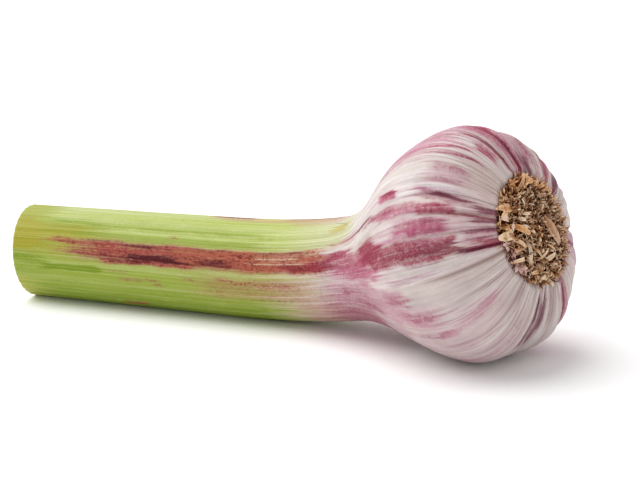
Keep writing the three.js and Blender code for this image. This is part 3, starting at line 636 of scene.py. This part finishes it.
    # cracks are sunk and lines raised
    relief = 0.0
    for value, depth in ((share["crack"], -values["crackDepth"]), (noise["lines"], values["veinDepth"])):
        relief = addNode(tree, "Math", {0: value, 1: depth, 2: relief}, operation="MULTIPLY_ADD")
    bump = addNode(tree, "Bump", {"Strength": 1.0, "Distance": mm, "Height": relief})
    shader = addNode(tree, "BsdfPrincipled", {
        "Base Color": colour, "Roughness": values["roughness"], "Normal": bump,
        "Specular IOR Level": values["shine"],
        "Subsurface Weight": values["translucence"], "Subsurface Scale": values["depth"] * mm,
        "Subsurface Radius": (1.0, 0.7, 0.5),
    })
    addNode(tree, "OutputMaterial", {"Surface": shader})
    return material


# head of garlic: pale papery skin, streaked pink and crimson
skinValues = {
    "columns": 600, "rows": 132,
    "pleats": 32, "pleatDepth": 1.0, "pleatSharpness": 0.6, "pleatSeed": 11, "foldDepth": 1.0,
    "wrinkleDepth": 0.55, "wrinkleWidth": 1.5,
    "ribDepth": 0.1, "fineRibDepth": 0.12,
    # crease and the amount after it are painted shade in the valleys and cracks
    "light": "#EFEAE6", "shade": "#D6CECE", "crease": "#A88A7E", "creaseShade": 0.5,
    "vein": "#A8648C", "veinColour": 0.65,
    # the cut face goes from the first colour to the second the deeper a sheath end is sunk: painted shade in
    # the recesses
    "cutLight": "#DAD7B0", "cutRecessShade": "#9A9760",
    # the head's line colour also carries the painted shade on the tight skin low on the head
    "rib": "#CCD680", "headLinesAndShade": "#E1DAD6", "lines": 1.35, "dapple": 0.55, "specks": 0.95, "speck": "#681010",
    # the first amount below is painted shade: how far the tight skin low on the head is darkened evenly
    "undersideShade": 0.6, "veinDepth": 0.03, "crackDepth": 0.12,
    "roughness": 0.5, "shine": 0.2, "translucence": 0.08, "depth": 1.6,
    "lip": 0.06,              # thickness at the torn end
    "lipReach": 5,            # how far on it has thinned to nothing
    "edgeEnds": 128,          # from here on along the centre line, rings no longer follow the torn edge
    "neckInset": 0.6,         # inner wall of the neck, under its outside
    "rimTurn": ((0.35, 0.7, 0.9), (0.55, 1.3, 0.7), (0.4, 2.2, 0.3)),   # end by the roots: mm on, in, raised
}


def pleatFields(turn, values):
    # height and start of each pleat, carried over smoothly from pleat to pleat
    state = values["pleatSeed"]
    drawn = []
    for _ in range(2 * values["pleats"]):
        state = (state * 1664525 + 1013904223) % 4294967296
        drawn.append(state / 4294967296)
    place = np.arange(values["pleats"]) + 0.5
    phase = turn * values["pleats"]
    height = np.interp(phase, place, 0.5 + 0.7 * np.array(drawn[0::2]), period=values["pleats"])
    start = np.interp(phase, place, -12 + 18 * np.array(drawn[1::2]), period=values["pleats"])
    return phase, height, start


def ringRows(rows, degrees):
    # rows of numbers or of one number for each degree, as a grid for each thing in a row
    return [np.array([row[i] + 0 * degrees for row in rows]) for i in range(len(rows[0]))]


def sheathPiece(name, finish, tree, values, s, degrees, radius, fields):
    # rings of skin or leaf, raised by the tree and dressed
    piece = ringMesh(name, s, degrees, radius, fields)
    runTree(piece, tree, {
        "Pleat Depth": values["pleatDepth"], "Pleat Sharpness": values["pleatSharpness"],
        "Fold Depth": values["foldDepth"], "Wrinkle Depth": values["wrinkleDepth"],
        "Wrinkle Width": values["wrinkleWidth"], "Rib Depth": values["ribDepth"],
        "Fine Rib Depth": values["fineRibDepth"], "Material": sheathMaterial(finish, values),
    })
    return piece


def buildSkin(values, tree):
    turn = np.arange(values["columns"]) / values["columns"]
    angle = 2 * math.pi * turn
    degrees = np.degrees(angle + 0.05 * np.sin(3 * angle + 1) + 0.035 * np.sin(5 * angle + 2))
    edge = collarEdge(degrees)

    # inside of the neck, back to the torn lip
    inside = shape["plugEnd"] + 0.3
    bore = np.minimum(profileRadius(edge), shape["neckRadius"] + 1) - values["neckInset"]
    rows = [(inside, 0, 0), (inside, bore - 2, 0), (inside, bore, 0)]
    rows += [(inside + (edge + 1.2 - inside) * share, bore, 0) for share in (0.2, 0.4, 0.6, 0.8, 1.0)]
    rows += [(edge + 0.9, profileRadius(edge + 0.9) - 0.15, 0.2), (edge - 0.25, profileRadius(edge), 1),
             (edge - 0.35, profileRadius(edge) + 0.5 * values["lip"], 1)]

    # outside, and over the edge of the root plate
    ends = np.interp((shape["collarAt"] - 0.1, shape["stalkLength"] + shape["plateAt"]), tableS, tableM)
    for m in np.linspace(*ends, values["rows"]):
        s = np.interp(m, tableM, tableS)
        s = s + (edge - shape["collarAt"]) * (1 - smooth(s, shape["collarAt"], values["edgeEnds"]))
        lip = values["lip"] * (1 - smooth(s, edge, edge + values["lipReach"]))
        rows.append((s, profileRadius(s) + cloveRelief(s, degrees) + lip, 1))
    outer = rows[-1][1]
    s = shape["stalkLength"] + shape["plateAt"]
    rows += [(s + past, outer - inset, share) for past, inset, share in values["rimTurn"]]
    rows += [(s - 0.3, radius, 0) for radius in (shape["plateRadius"] + 0.3, shape["plateRadius"] - 4, 0)]
    s, radius, outside = ringRows(rows, degrees)
    degrees = np.broadcast_to(degrees, s.shape)
    fields = dict(sheathFields(s, degrees), outside=outside, face=0 * s, faceDepth=0 * s)
    for key, value in zip(("pleatPhase", "pleatHeight", "pleatStart"), pleatFields(turn, values)):
        fields[key] = np.broadcast_to(value, s.shape)
    return sheathPiece("garlicSkin", "garlic skin, satin and dry", tree, values, s, degrees, radius, fields)


sheath = sheathTree()
garlicSkin = buildSkin(skinValues, sheath)
print("skin built:", len(garlicSkin.data.polygons), "faces")

# cut stalk: ribbed green leaf sheaths, rolled one inside another
stalkValues = dict(
    skinValues, columns=480, rows=112, neckInset=0.9, pleatDepth=0.0, pleatSharpness=1.0, foldDepth=0.0,
    sheaths=((0.0, 0.2, 0.2), (0.25, 0.44, 1.0), (0.49, 0.67, 0.4), (0.72, 0.86, 1.1)),   # from, to, mm deep
    # edge of the cut: mm in, mm deep, how far it is raised, how far it is cut face
    cutEdge=((1.6, 0.1, 0, 1), (1.2, 0, 0, 1), (0.45, 0, 0, 1), (0.12, 0.1, 0.6, 0.6)),
)


def buildStalk(values, tree):
    degrees = 360 * (np.arange(values["columns"]) / values["columns"])
    edge = collarEdge(degrees)
    cut = shape["cutRadius"]

    # cut ends of the rolled sheaths, then the edge of the cut
    rows = [(cutPlace(degrees, 0) + 0.2, 0, 0, 1, 0.2)]
    for inner, outer, depth in values["sheaths"]:
        for share in (inner + 0.004, (inner + outer) / 2, outer):
            radius = max(share * cut, 0.3)
            rows.append((cutPlace(degrees, radius) + depth, radius, 0, 1, depth))
    for inset, depth, outside, face in values["cutEdge"]:
        rows.append((cutPlace(degrees, cut - inset) + depth, cut - inset, outside, face, 0))

    # outside, then the part hidden in the neck
    start = cutPlace(degrees, cut) + 0.4
    for share in np.linspace(0, 1, values["rows"]):
        s = start + (edge + 0.5 - start) * share
        rows.append((s, profileRadius(s), 1, 0, 0))
    bore = np.minimum(profileRadius(edge), shape["neckRadius"] + 1) - values["neckInset"]
    for share in (0, 0.25, 0.5, 0.75, 1):
        rows.append((edge + 0.9 + (shape["plugEnd"] - edge - 0.9) * share, bore, 0, 0, 0))
    rows += [(shape["plugEnd"], radius, 0, 0, 0) for radius in (4, 0)]
    s, radius, outside, face, depth = ringRows(rows, degrees)
    degrees = np.broadcast_to(degrees, s.shape)
    # faceDepth is how deep each sheath end is sunk; the material turns it into painted shade on the cut face
    fields = dict(sheathFields(s, degrees), outside=outside, face=face, faceDepth=depth / depth.max(),
                  pleatPhase=0 * s, pleatHeight=0 * s, pleatStart=0 * s)
    return sheathPiece("greenStalk", "green leaf sheath, satin", tree, values, s, degrees, radius, fields)


greenStalk = buildStalk(stalkValues, sheath)
print("stalk built:", len(greenStalk.data.polygons), "faces")

# root tuft: short dry curled roots, clipped close to the plate
tuftValues = {
    "seed": 5, "kinds": 20, "density": 1.4e7, "spacing": 0.43, "centreSize": 0.72, "rimSize": 1.0,
    "spread": 0.3, "disorder": 1.4, "flare": 1.8,
    "coolDark": "#461E0A", "coolMiddle": "#A88262", "coolPale": "#F0DCC4",
    "warmDark": "#4E1E06", "warmMiddle": "#BA7A46", "warmPale": "#F4CC9C",
    "blush": "#CDA6AC", "roughness": 0.8, "shine": 0.05,
    # rise darkens each root towards the plate and leaves the bare plate darkest: painted shade between the
    # roots
    "tones": {"tint": 0.72, "rise": 0.5, "rim": 0.3, "mottle": 0.4}, "toneStart": -0.46,   # dark to pale
    "shredWidths": ((0.4, 0.7), (0.5, 0.8), (0.8, 1.2), (0.22, 0.32)),   # mm: two narrow, a broad, a wiry one
    "shredLengths": (1.5, 2.7), "shredCurl": (-2.4, 3.2), "shredTwist": (-1.3, 1.3), "shredCup": (-0.5, 0.7),
    "nearSide": 115,                # degrees: roots are longest and pinkish there
    "warmPatch": (-1.0, 2.2, 3.0),  # its place on the plate, and its spread
    "scar": (310, 3.6, 232, 8.8),   # a smooth place: degrees and mm from the middle at each end
    # larger flakes: degrees round the plate and mm from its middle at each end, width, how far the tip stands
    # up and the middle arches, roll in degrees, tint, warmth, blush
    "flakes": [
        (310, 3.4, 232, 9, 3.2, 0, 0, 0, 0.42, 0.3, 0.1),
        (88, 11, 87, 15.8, 2.3, 0.3, 0.6, 15, 0.95, 0.5, 0),
        (90, 12.6, 71, 10.8, 1, 0.9, 0.2, -20, 1, 0.3, 0.1),
        (74, 10.8, 96, 5.6, 1.6, 0.6, 0.5, 25, 0.55, 1, 0),
        (92, 11.5, 114, 8.6, 1.3, 0.3, 0.5, -10, 0.75, 0.6, 0),
        (51, 11, 60, 15.4, 2.2, 0.4, 0.5, 20, 0.65, 0.8, 0),
        (54, 12.6, 66, 13.6, 1.6, 0.8, 0.4, -25, 0.75, 0.8, 0),
        (68, 11.5, 67, 13.8, 1.5, 0.6, 0.2, 10, 0.95, 0.3, 0.3),
        (20, 11.3, 353, 14.3, 1.4, 0.9, 0.3, 15, 0.6, 0.8, 0),
        (20, 12.3, 17, 14.4, 1.2, 0.4, 0.2, -15, 0.4, 1, 0),
        (4, 11, 345, 13.6, 1, 0.6, 0.3, -20, 0.55, 0.7, 0.2),
        (358, 11.9, 342, 12.6, 1.2, 0.5, 0.8, 10, 0.6, 1, 0),
        (341, 10.9, 330, 13.9, 1.2, 0.7, 0.3, 20, 0.75, 0.8, 0),
        (332, 11, 318, 13.8, 1.1, 0.5, 0.4, -20, 0.6, 0.9, 0),
        (321, 11.3, 311, 13.4, 1, 0.5, 0.5, 10, 0.5, 0.9, 0),
        (107, 7, 134, 11.1, 1.4, 0.5, 0.5, 5, 0.7, 0, 0),
        (153, 8.4, 188, 5.8, 0.8, 0.4, 0.3, 20, 0.75, 0.5, 0),
        (163, 8.8, 205, 8.2, 1.1, 0.4, 0.4, -15, 0.78, 0.4, 0),
        (131, 6.4, 157, 7.4, 0.9, 0.3, 0.3, 10, 0.6, 0.6, 0),
        (196, 4.8, 210, 8, 0.7, 0.3, 0.3, -15, 0.7, 0.5, 0),
        (98, 13, 93, 14.8, 1, 0.5, 0.3, 20, 0.8, 0.2, 0.8),
        (103, 13.4, 97, 14.3, 0.8, 0.6, 0.3, -20, 0.7, 0.2, 0.8),
        (121, 13, 123, 15.4, 1.1, 0.4, 0.4, 15, 0.85, 0.2, 0.8),
        (127, 12.7, 129, 14.6, 0.9, 0.6, 0.3, -15, 0.9, 0.2, 0.9),
        (114, 14.4, 122, 11.2, 1, 0.3, 1.4, 10, 0.8, 0.4, 0),
        (130, 12.9, 138, 13.6, 0.7, 0.5, 0.3, 0, 0.8, 0.2, 0.7),
        (53, 8.5, 37, 5.2, 0.8, 0.5, 0.4, 10, 0.75, 0.4, 0),
        (62, 8.1, 61, 6.3, 1.1, 0.6, 0.3, -15, 0.95, 0.3, 0),
        (75, 7.8, 78, 5.4, 0.9, 0.6, 0.3, 15, 0.95, 0.2, 0.2),
        (85, 4.6, 106, 3.6, 0.9, 0.5, 0.4, -10, 0.8, 0.4, 0.1),
        (107, 9.6, 107, 12.1, 1.3, 0.3, 0.4, 10, 0.5, 1, 0),
        (31, 7.2, 26, 9.3, 0.6, 0.5, 0.3, 0, 0.9, 0.3, 0),
        (186, 9.6, 197, 11.1, 0.6, 0.3, 1, 0, 0.8, 0.3, 0),
        (157, 11.3, 142, 12.8, 1, 0.4, 0.4, 15, 0.6, 0.8, 0),
    ],
}


def stripShape(centres, ups, halves, cup, thick):
    # a thin closed strip along a line of points, four corners to a row; cup lifts or drops its edges
    along = np.gradient(centres, axis=0)
    along /= np.linalg.norm(along, axis=1, keepdims=True)
    across = np.cross(ups, along)
    across /= np.linalg.norm(across, axis=1, keepdims=True)
    lift = np.cross(along, across)
    halves = halves[:, None]
    points = np.stack([centres - across * halves + lift * halves * cup, centres - lift * thick,
                       centres + across * halves + lift * halves * cup, centres + lift * thick], 1)
    faces = [[3, 2, 1, 0]]
    for i in range(len(centres) - 1):
        for j in range(4):
            a, b = 4 * i + j, 4 * i + (j + 1) % 4
            faces.append([a, b, b + 4, a + 4])
    faces.append([4 * len(centres) - 4 + j for j in range(4)])
    rise = np.repeat(np.linspace(0, 1, len(centres)), 4)
    return points.reshape(-1, 3), faces, rise, np.tile([1.0, 0.3, 1.0, 0.0], len(centres))


def stripObject(name, points, faces, fields):
    mesh = bpy.data.meshes.new(name)
    mesh.from_pydata((points * mm).tolist(), [], faces)
    for key, value in fields.items():
        layer = mesh.attributes.new(key, "FLOAT", "POINT")
        layer.data.foreach_set("value", np.asarray(value, np.float32))
    return bpy.data.objects.new(name, mesh)


def shredObject(kind, rng, values):
    # a strip that rises along +Z and curls
    width = rng.uniform(*values["shredWidths"][kind % 4])
    length = rng.uniform(*values["shredLengths"]) * (1.3 if width < 0.4 else 1.0)
    curl, twist = rng.uniform(*values["shredCurl"]), rng.uniform(*values["shredTwist"])
    share = np.linspace(0, 1, 6)
    bend = curl * share ** 1.3
    step = np.stack([np.sin(bend), 0.25 * np.sin(2 * share * twist), np.cos(bend)], 1) * length / 5
    centres = np.cumsum(step, axis=0) - step[0]
    ups = np.stack([np.cos(bend) * np.cos(twist * share), np.sin(twist * share), -np.sin(bend)], 1)
    halves = 0.5 * width * (0.75 + 0.35 * np.sin(2.4 * share + twist) - 0.7 * share ** 4)
    points, faces, rise, rim = stripShape(centres, ups, halves, rng.uniform(*values["shredCup"]), 0.06)
    return stripObject(f"shred{kind}", points, faces, {"rise": rise, "rim": rim})


def plateTop(radius):
    return shape["plateHeight"] * np.sqrt(np.clip(1 - (radius / shape["plateRadius"]) ** 2, 0, 1))


def groundAt(radius):
    # where the plate's dome, or the skin round it, lies along the centre line
    base = shape["stalkLength"] + shape["plateAt"]
    fall = 1 - np.clip(radius / (shape["headRadius"] + shape["cloveSwell"]), 0, 1) ** shape["shoulderFull"]
    skin = shape["stalkLength"] + shape["rootReach"] * fall ** (1 / shape["shoulderRound"])
    return np.where(radius < shape["plateRadius"], base + plateTop(radius), np.minimum(skin, base))


def flakesObject(values):
    # the larger flakes, each set on the plate or over its rim one by one
    points, faces, fields = [], [], []
    for at, radius, toAt, toRadius, width, tip, arch, roll, tint, warm, blush in values["flakes"]:
        share = np.linspace(0, 1, 9)
        first, last = [r * np.exp(1j * math.radians(a)) for a, r in ((at, radius), (toAt, toRadius))]
        place = first + (last - first) * share
        turn, reach = np.degrees(np.angle(place)), np.abs(place)
        s = groundAt(reach) + 0.65 + tip * share + arch * np.sin(math.pi * share)
        away = outwardAt(s, turn)
        over = smooth(reach, 12, 16)[:, None]
        up = directionAt(s) * (1 - over) + away * over
        centres = centreAt(s) + away * reach[:, None]
        side = np.cross(np.gradient(centres, axis=0), up)
        up = up * math.cos(math.radians(roll)) + side * math.sin(math.radians(roll))
        halves = 0.5 * width * np.sin(math.pi * (0.1 + 0.85 * share)) ** 0.5
        placed, corners, rise, rim = stripShape(centres, up, halves, 0.35, 0.08)
        offset = sum(map(len, points))
        faces += [[corner + offset for corner in face] for face in corners]
        points.append(placed)
        plain = [value + 0 * rise for value in (tint, warm, blush)]
        # flakes darken less towards the plate: painted shade where they leave it
        fields.append([0.35 + 0.65 * rise, 0.3 + 0.7 * rim] + plain)
    fields = dict(zip(("rise", "rim", "tint", "warm", "blush"), np.concatenate(fields, 1)))
    return stripObject("flakes", np.concatenate(points), faces, fields)


def tuftTree():
    # shreds scattered on the plate, leaning every way, and outwards at its rim
    tree, given = newTree("scatterShreds", {
        "Shreds": "Collection", "Flakes": "Object", "Density": "Float", "Spacing": "Float", "Seed": "Int",
        "Centre Size": "Float", "Rim Size": "Float", "Size Spread": "Float", "Disorder": "Float",
        "Flare": "Float", "Material": "Material",
    })
    cover, flare, grow = [addNode(tree, "GeometryNodeInputNamedAttribute", {"Name": key}, data_type="FLOAT")
                          for key in ("cover", "flare", "grow")]
    away = addNode(tree, "GeometryNodeInputNamedAttribute", {"Name": "outward"}, data_type="FLOAT_VECTOR")
    scatter = tree.nodes.new("GeometryNodeDistributePointsOnFaces")
    scatter.distribute_method = "POISSON"
    for key, value in (("Mesh", given["Geometry"]), ("Density Max", given["Density"]),
                       ("Density Factor", cover), ("Distance Min", given["Spacing"]),
                       ("Seed", given["Seed"])):
        tree.links.new(value, scatter.inputs[key])

    # each leans along the normal, outwards by its flare and at random, and its broad side faces outwards
    flare = addNode(tree, "Math", {0: flare, 1: given["Flare"]}, operation="MULTIPLY")
    lean = addNode(tree, "VectorMath", {0: away, "Scale": flare}, operation="SCALE")
    loose = addNode(tree, "FunctionNodeRandomValue", {"Min": (-1, -1, -1), "Max": (1, 1, 1), "Seed": 3},
                    data_type="FLOAT_VECTOR")
    loose = addNode(tree, "VectorMath", {0: loose, "Scale": given["Disorder"]}, operation="SCALE")
    for push in (scatter.outputs["Normal"], loose):
        lean = addNode(tree, "VectorMath", {0: lean, 1: push}, operation="ADD")
    spin, vary = [addNode(tree, "FunctionNodeRandomValue", {"Min": -1.0, "Max": 1.0, "Seed": seed},
                          data_type="FLOAT") for seed in (4, 6)]
    pose = addNode(tree, "FunctionNodeAlignRotationToVector", {"Vector": lean}, axis="Z")
    pose = addNode(tree, "FunctionNodeAlignRotationToVector", {
        "Rotation": pose, "Vector": scatter.outputs["Normal"]}, axis="X", pivot_axis="Z")
    spin = addNode(tree, "FunctionNodeAxisAngleToRotation", {"Axis": (0, 0, 1), "Angle": spin})
    pose = addNode(tree, "FunctionNodeRotateRotation", {"Rotation": pose, "Rotate By": spin},
                   rotation_space="LOCAL")
    size = addNode(tree, "MapRange", {"Value": grow, "To Min": given["Centre Size"],
                                      "To Max": given["Rim Size"]})
    vary = addNode(tree, "Math", {0: vary, 1: given["Size Spread"], 2: 1.0}, operation="MULTIPLY_ADD")
    size = addNode(tree, "Math", {0: size, 1: vary}, operation="MULTIPLY")
    kinds = addNode(tree, "GeometryNodeCollectionInfo", {
        "Collection": given["Shreds"], "Separate Children": True, "Reset Children": True})
    sown = addNode(tree, "GeometryNodeInstanceOnPoints", {
        "Points": scatter.outputs["Points"], "Instance": kinds, "Pick Instance": True,
        "Rotation": pose, "Scale": size,
    })
    for key, seed in (("tint", 8), ("hue", 9)):
        value = addNode(tree, "FunctionNodeRandomValue", {"Min": 0.0, "Max": 1.0, "Seed": seed},
                        data_type="FLOAT")
        sown = addNode(tree, "GeometryNodeStoreNamedAttribute", {
            "Geometry": sown, "Name": key, "Value": value}, data_type="FLOAT", domain="INSTANCE")
    flakes = addNode(tree, "GeometryNodeObjectInfo", {"Object": given["Flakes"]}, out=4)
    both = tree.nodes.new("GeometryNodeJoinGeometry")
    for part in (given["Geometry"], sown, flakes):
        tree.links.new(part, both.inputs[0])
    closeTree(tree, given, both.outputs[0])
    return tree


def rootMaterial(values):
    # dry fibrous roots, matt, so nothing glints and only their tones tell them apart: dark where they leave
    # the plate, which is painted shade between them, pale at the tips, some of them orange
    material = bpy.data.materials.new("dry root fibre, matt")
    material.use_nodes = True
    tree = material.node_tree
    tree.nodes.clear()
    field = {key: addNode(tree, "Attribute", out=2, attribute_name=key)
             for key in ("tint", "rise", "rim", "warm", "hue", "blush")}
    where = addNode(tree, "TexCoord", out=3)
    # mottled about once in 0.7 mm
    field["mottle"] = addNode(tree, "TexNoise", {"Vector": where, "Scale": 1400.0, "Detail": 3.0})
    # rise in the tone makes the roots' bases and the bare plate dark: painted shade
    tone = values["toneStart"]
    for key, share in values["tones"].items():
        tone = addNode(tree, "Math", {0: field[key], 1: share, 2: tone}, operation="MULTIPLY_ADD")
    cool, warm = [addNode(tree, "ValToRGB", {"Fac": tone}, stops=(
        (0.2, linear(values[kind + "Dark"])), (0.95, linear(values[kind + "Pale"])),
        (0.5, linear(values[kind + "Middle"])))) for kind in ("cool", "warm")]
    orange = addNode(tree, "Math", {0: field["hue"], 1: 0.6, 2: field["warm"]}, operation="MULTIPLY_ADD")
    orange = addNode(tree, "Math", {0: orange, 1: 1.0}, operation="MINIMUM")
    blush = addNode(tree, "Math", {0: field["blush"], 1: tone}, operation="MULTIPLY")
    colour = cool
    for share, tint in ((orange, warm), (blush, linear(values["blush"]))):
        colour = addNode(tree, "Mix", {"Factor": share, "A": colour, "B": tint}, data_type="RGBA")
    bump = addNode(tree, "Bump", {"Strength": 1.0, "Distance": 0.06 * mm, "Height": field["mottle"]})
    shader = addNode(tree, "BsdfPrincipled", {"Base Color": colour, "Normal": bump,
                                              "Roughness": values["roughness"],
                                              "Specular IOR Level": values["shine"]})
    addNode(tree, "OutputMaterial", {"Surface": shader})
    return material


def plateFields(values, degrees, radius):
    # bare on the smooth place, orange at the rim and in one patch, pinkish and longer low on the near side
    turn = np.radians(degrees)
    x, y = radius * np.cos(turn), radius * np.sin(turn)
    start, startRadius, end, endRadius = values["scar"]
    first, last = [r * np.exp(1j * math.radians(a)) for a, r in ((start, startRadius), (end, endRadius))]
    along = last - first
    place = x + 1j * y - first
    share = np.clip((place * np.conj(along)).real / abs(along) ** 2, 0, 1)
    away = np.abs(place - along * share)
    reach = radius / shape["plateRadius"]
    patchX, patchY, patchSpread = values["warmPatch"]
    patch = np.exp(-((x - patchX) ** 2 + (y - patchY) ** 2) / patchSpread ** 2)
    near = 0.2 + 0.8 * np.exp(-(apart(degrees, values["nearSide"]) / 70) ** 2)
    return {
        "cover": smooth(away, 0.8, 1.6), "grow": smooth(reach, 0.55, 0.95) * near, "flare": reach ** 4 * near,
        "warm": 0.5 * smooth(reach, 0.65, 0.95) * (0.7 + 0.3 * np.cos(turn)) + 0.5 * patch,
        "blush": np.exp(-(apart(degrees, values["nearSide"]) / 20) ** 2) * smooth(reach, 0.75, 1.0),
    }


def buildTuft(values):
    rng = np.random.default_rng(values["seed"])
    shreds = bpy.data.collections.new("shreds")
    for kind in range(values["kinds"]):
        shreds.objects.link(shredObject(kind, rng, values))
    flakes = flakesObject(values)
    scene.collection.objects.link(flakes)
    degrees = np.arange(0, 360, 3.0)
    base = shape["stalkLength"] + shape["plateAt"]
    radii = shape["plateRadius"] * np.sin(np.linspace(0, math.pi / 2, 24))[::-1]
    rows = [(base, 0.0), (base, shape["plateRadius"] - 0.4)]
    rows += [(base + 0.15 + plateTop(r), r) for r in radii]
    s, radius = ringRows(rows, degrees)
    degrees = np.broadcast_to(degrees, s.shape)
    fields = plateFields(values, degrees, radius)
    fields["cover"][:2] = 0
    # the bare plate gets the darkest tone: painted shade under the roots
    fields.update(tint=0 * s, rise=0 * s, rim=0 * s, hue=0 * s)
    piece = ringMesh("rootTuft", s, degrees, radius, fields)
    runTree(piece, tuftTree(), {
        "Shreds": shreds, "Flakes": flakes, "Density": values["density"], "Spacing": values["spacing"] * mm,
        "Seed": values["seed"], "Centre Size": values["centreSize"], "Rim Size": values["rimSize"],
        "Size Spread": values["spread"], "Disorder": values["disorder"], "Flare": values["flare"],
        "Material": rootMaterial(values),
    })
    for spare in list(shreds.objects) + [flakes]:
        bpy.data.objects.remove(spare)
    bpy.data.collections.remove(shreds)
    return piece


rootTuft = buildTuft(tuftValues)
print("tuft built:", len(rootTuft.data.polygons), "faces")

for piece, node, slot in ((garlicSkin, "bulb", "bulb_skin"), (greenStalk, "stalk", "green_sheath"),
                          (rootTuft, "roots", "dry_root")):
    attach(piece, "root")
    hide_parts(node)

# studio: pale floor, soft light from above, white surroundings
studioValues = {
    "floorSize": 6.0, "floor": "#FFFFFF", "surroundings": 0.66, "lamp": 2.4, "lampAngle": 65.0,
    "lampTurn": (-3.0, -32.0, 0.0), "floorRoughness": 0.9,
    "azimuth": 20.115, "elevation": 14.746, "distance": 553.85, "target": (-44.33, -0.62, 27.06),
    "focal": 117.83,
}


def buildStudio(values):
    half = values["floorSize"] / 2
    mesh = bpy.data.meshes.new("floor")
    corners = [(-half, -half, 0), (half, -half, 0), (half, half, 0), (-half, half, 0)]
    mesh.from_pydata(corners, [], [(0, 1, 2, 3)])
    floor = bpy.data.objects.new("floor", mesh)
    scene.collection.objects.link(floor)
    # a white matt table top: it has no highlight, so only the soft shadow shows on it
    material = bpy.data.materials.new("white table top, matt")
    material.use_nodes = True
    shader = material.node_tree.nodes["Principled BSDF"]
    shader.inputs["Base Color"].default_value = linear(values["floor"])
    shader.inputs["Roughness"].default_value = values["floorRoughness"]
    shader.inputs["Specular IOR Level"].default_value = 0.0
    mesh.materials.append(material)
    world = bpy.data.worlds.new("white surroundings")
    world.use_nodes = True
    world.node_tree.nodes["Background"].inputs["Color"].default_value = (1, 1, 1, 1)
    world.node_tree.nodes["Background"].inputs["Strength"].default_value = values["surroundings"]
    scene.world = world
    lamp = bpy.data.objects.new("overhead lamp", bpy.data.lights.new("overhead lamp", "SUN"))
    lamp.data.energy = values["lamp"]
    lamp.data.angle = math.radians(values["lampAngle"])
    lamp.rotation_euler = [math.radians(angle) for angle in values["lampTurn"]]
    scene.collection.objects.link(lamp)
    scene.view_settings.view_transform = "Standard"


def buildCamera(values):
    azimuth, elevation = math.radians(values["azimuth"]), math.radians(values["elevation"])
    away = Vector((math.sin(azimuth) * math.cos(elevation), -math.cos(azimuth) * math.cos(elevation),
                   math.sin(elevation)))
    camera = bpy.data.objects.new("camera", bpy.data.cameras.new("camera"))
    camera.location = (Vector(values["target"]) + away * values["distance"]) * mm
    camera.rotation_euler = away.to_track_quat("Z", "Y").to_euler()
    camera.data.lens = values["focal"]
    camera.data.sensor_width = 36
    camera.data.clip_start = 0.01
    scene.collection.objects.link(camera)
    scene.camera = camera


buildStudio(studioValues)
buildCamera(studioValues)
print("studio built")
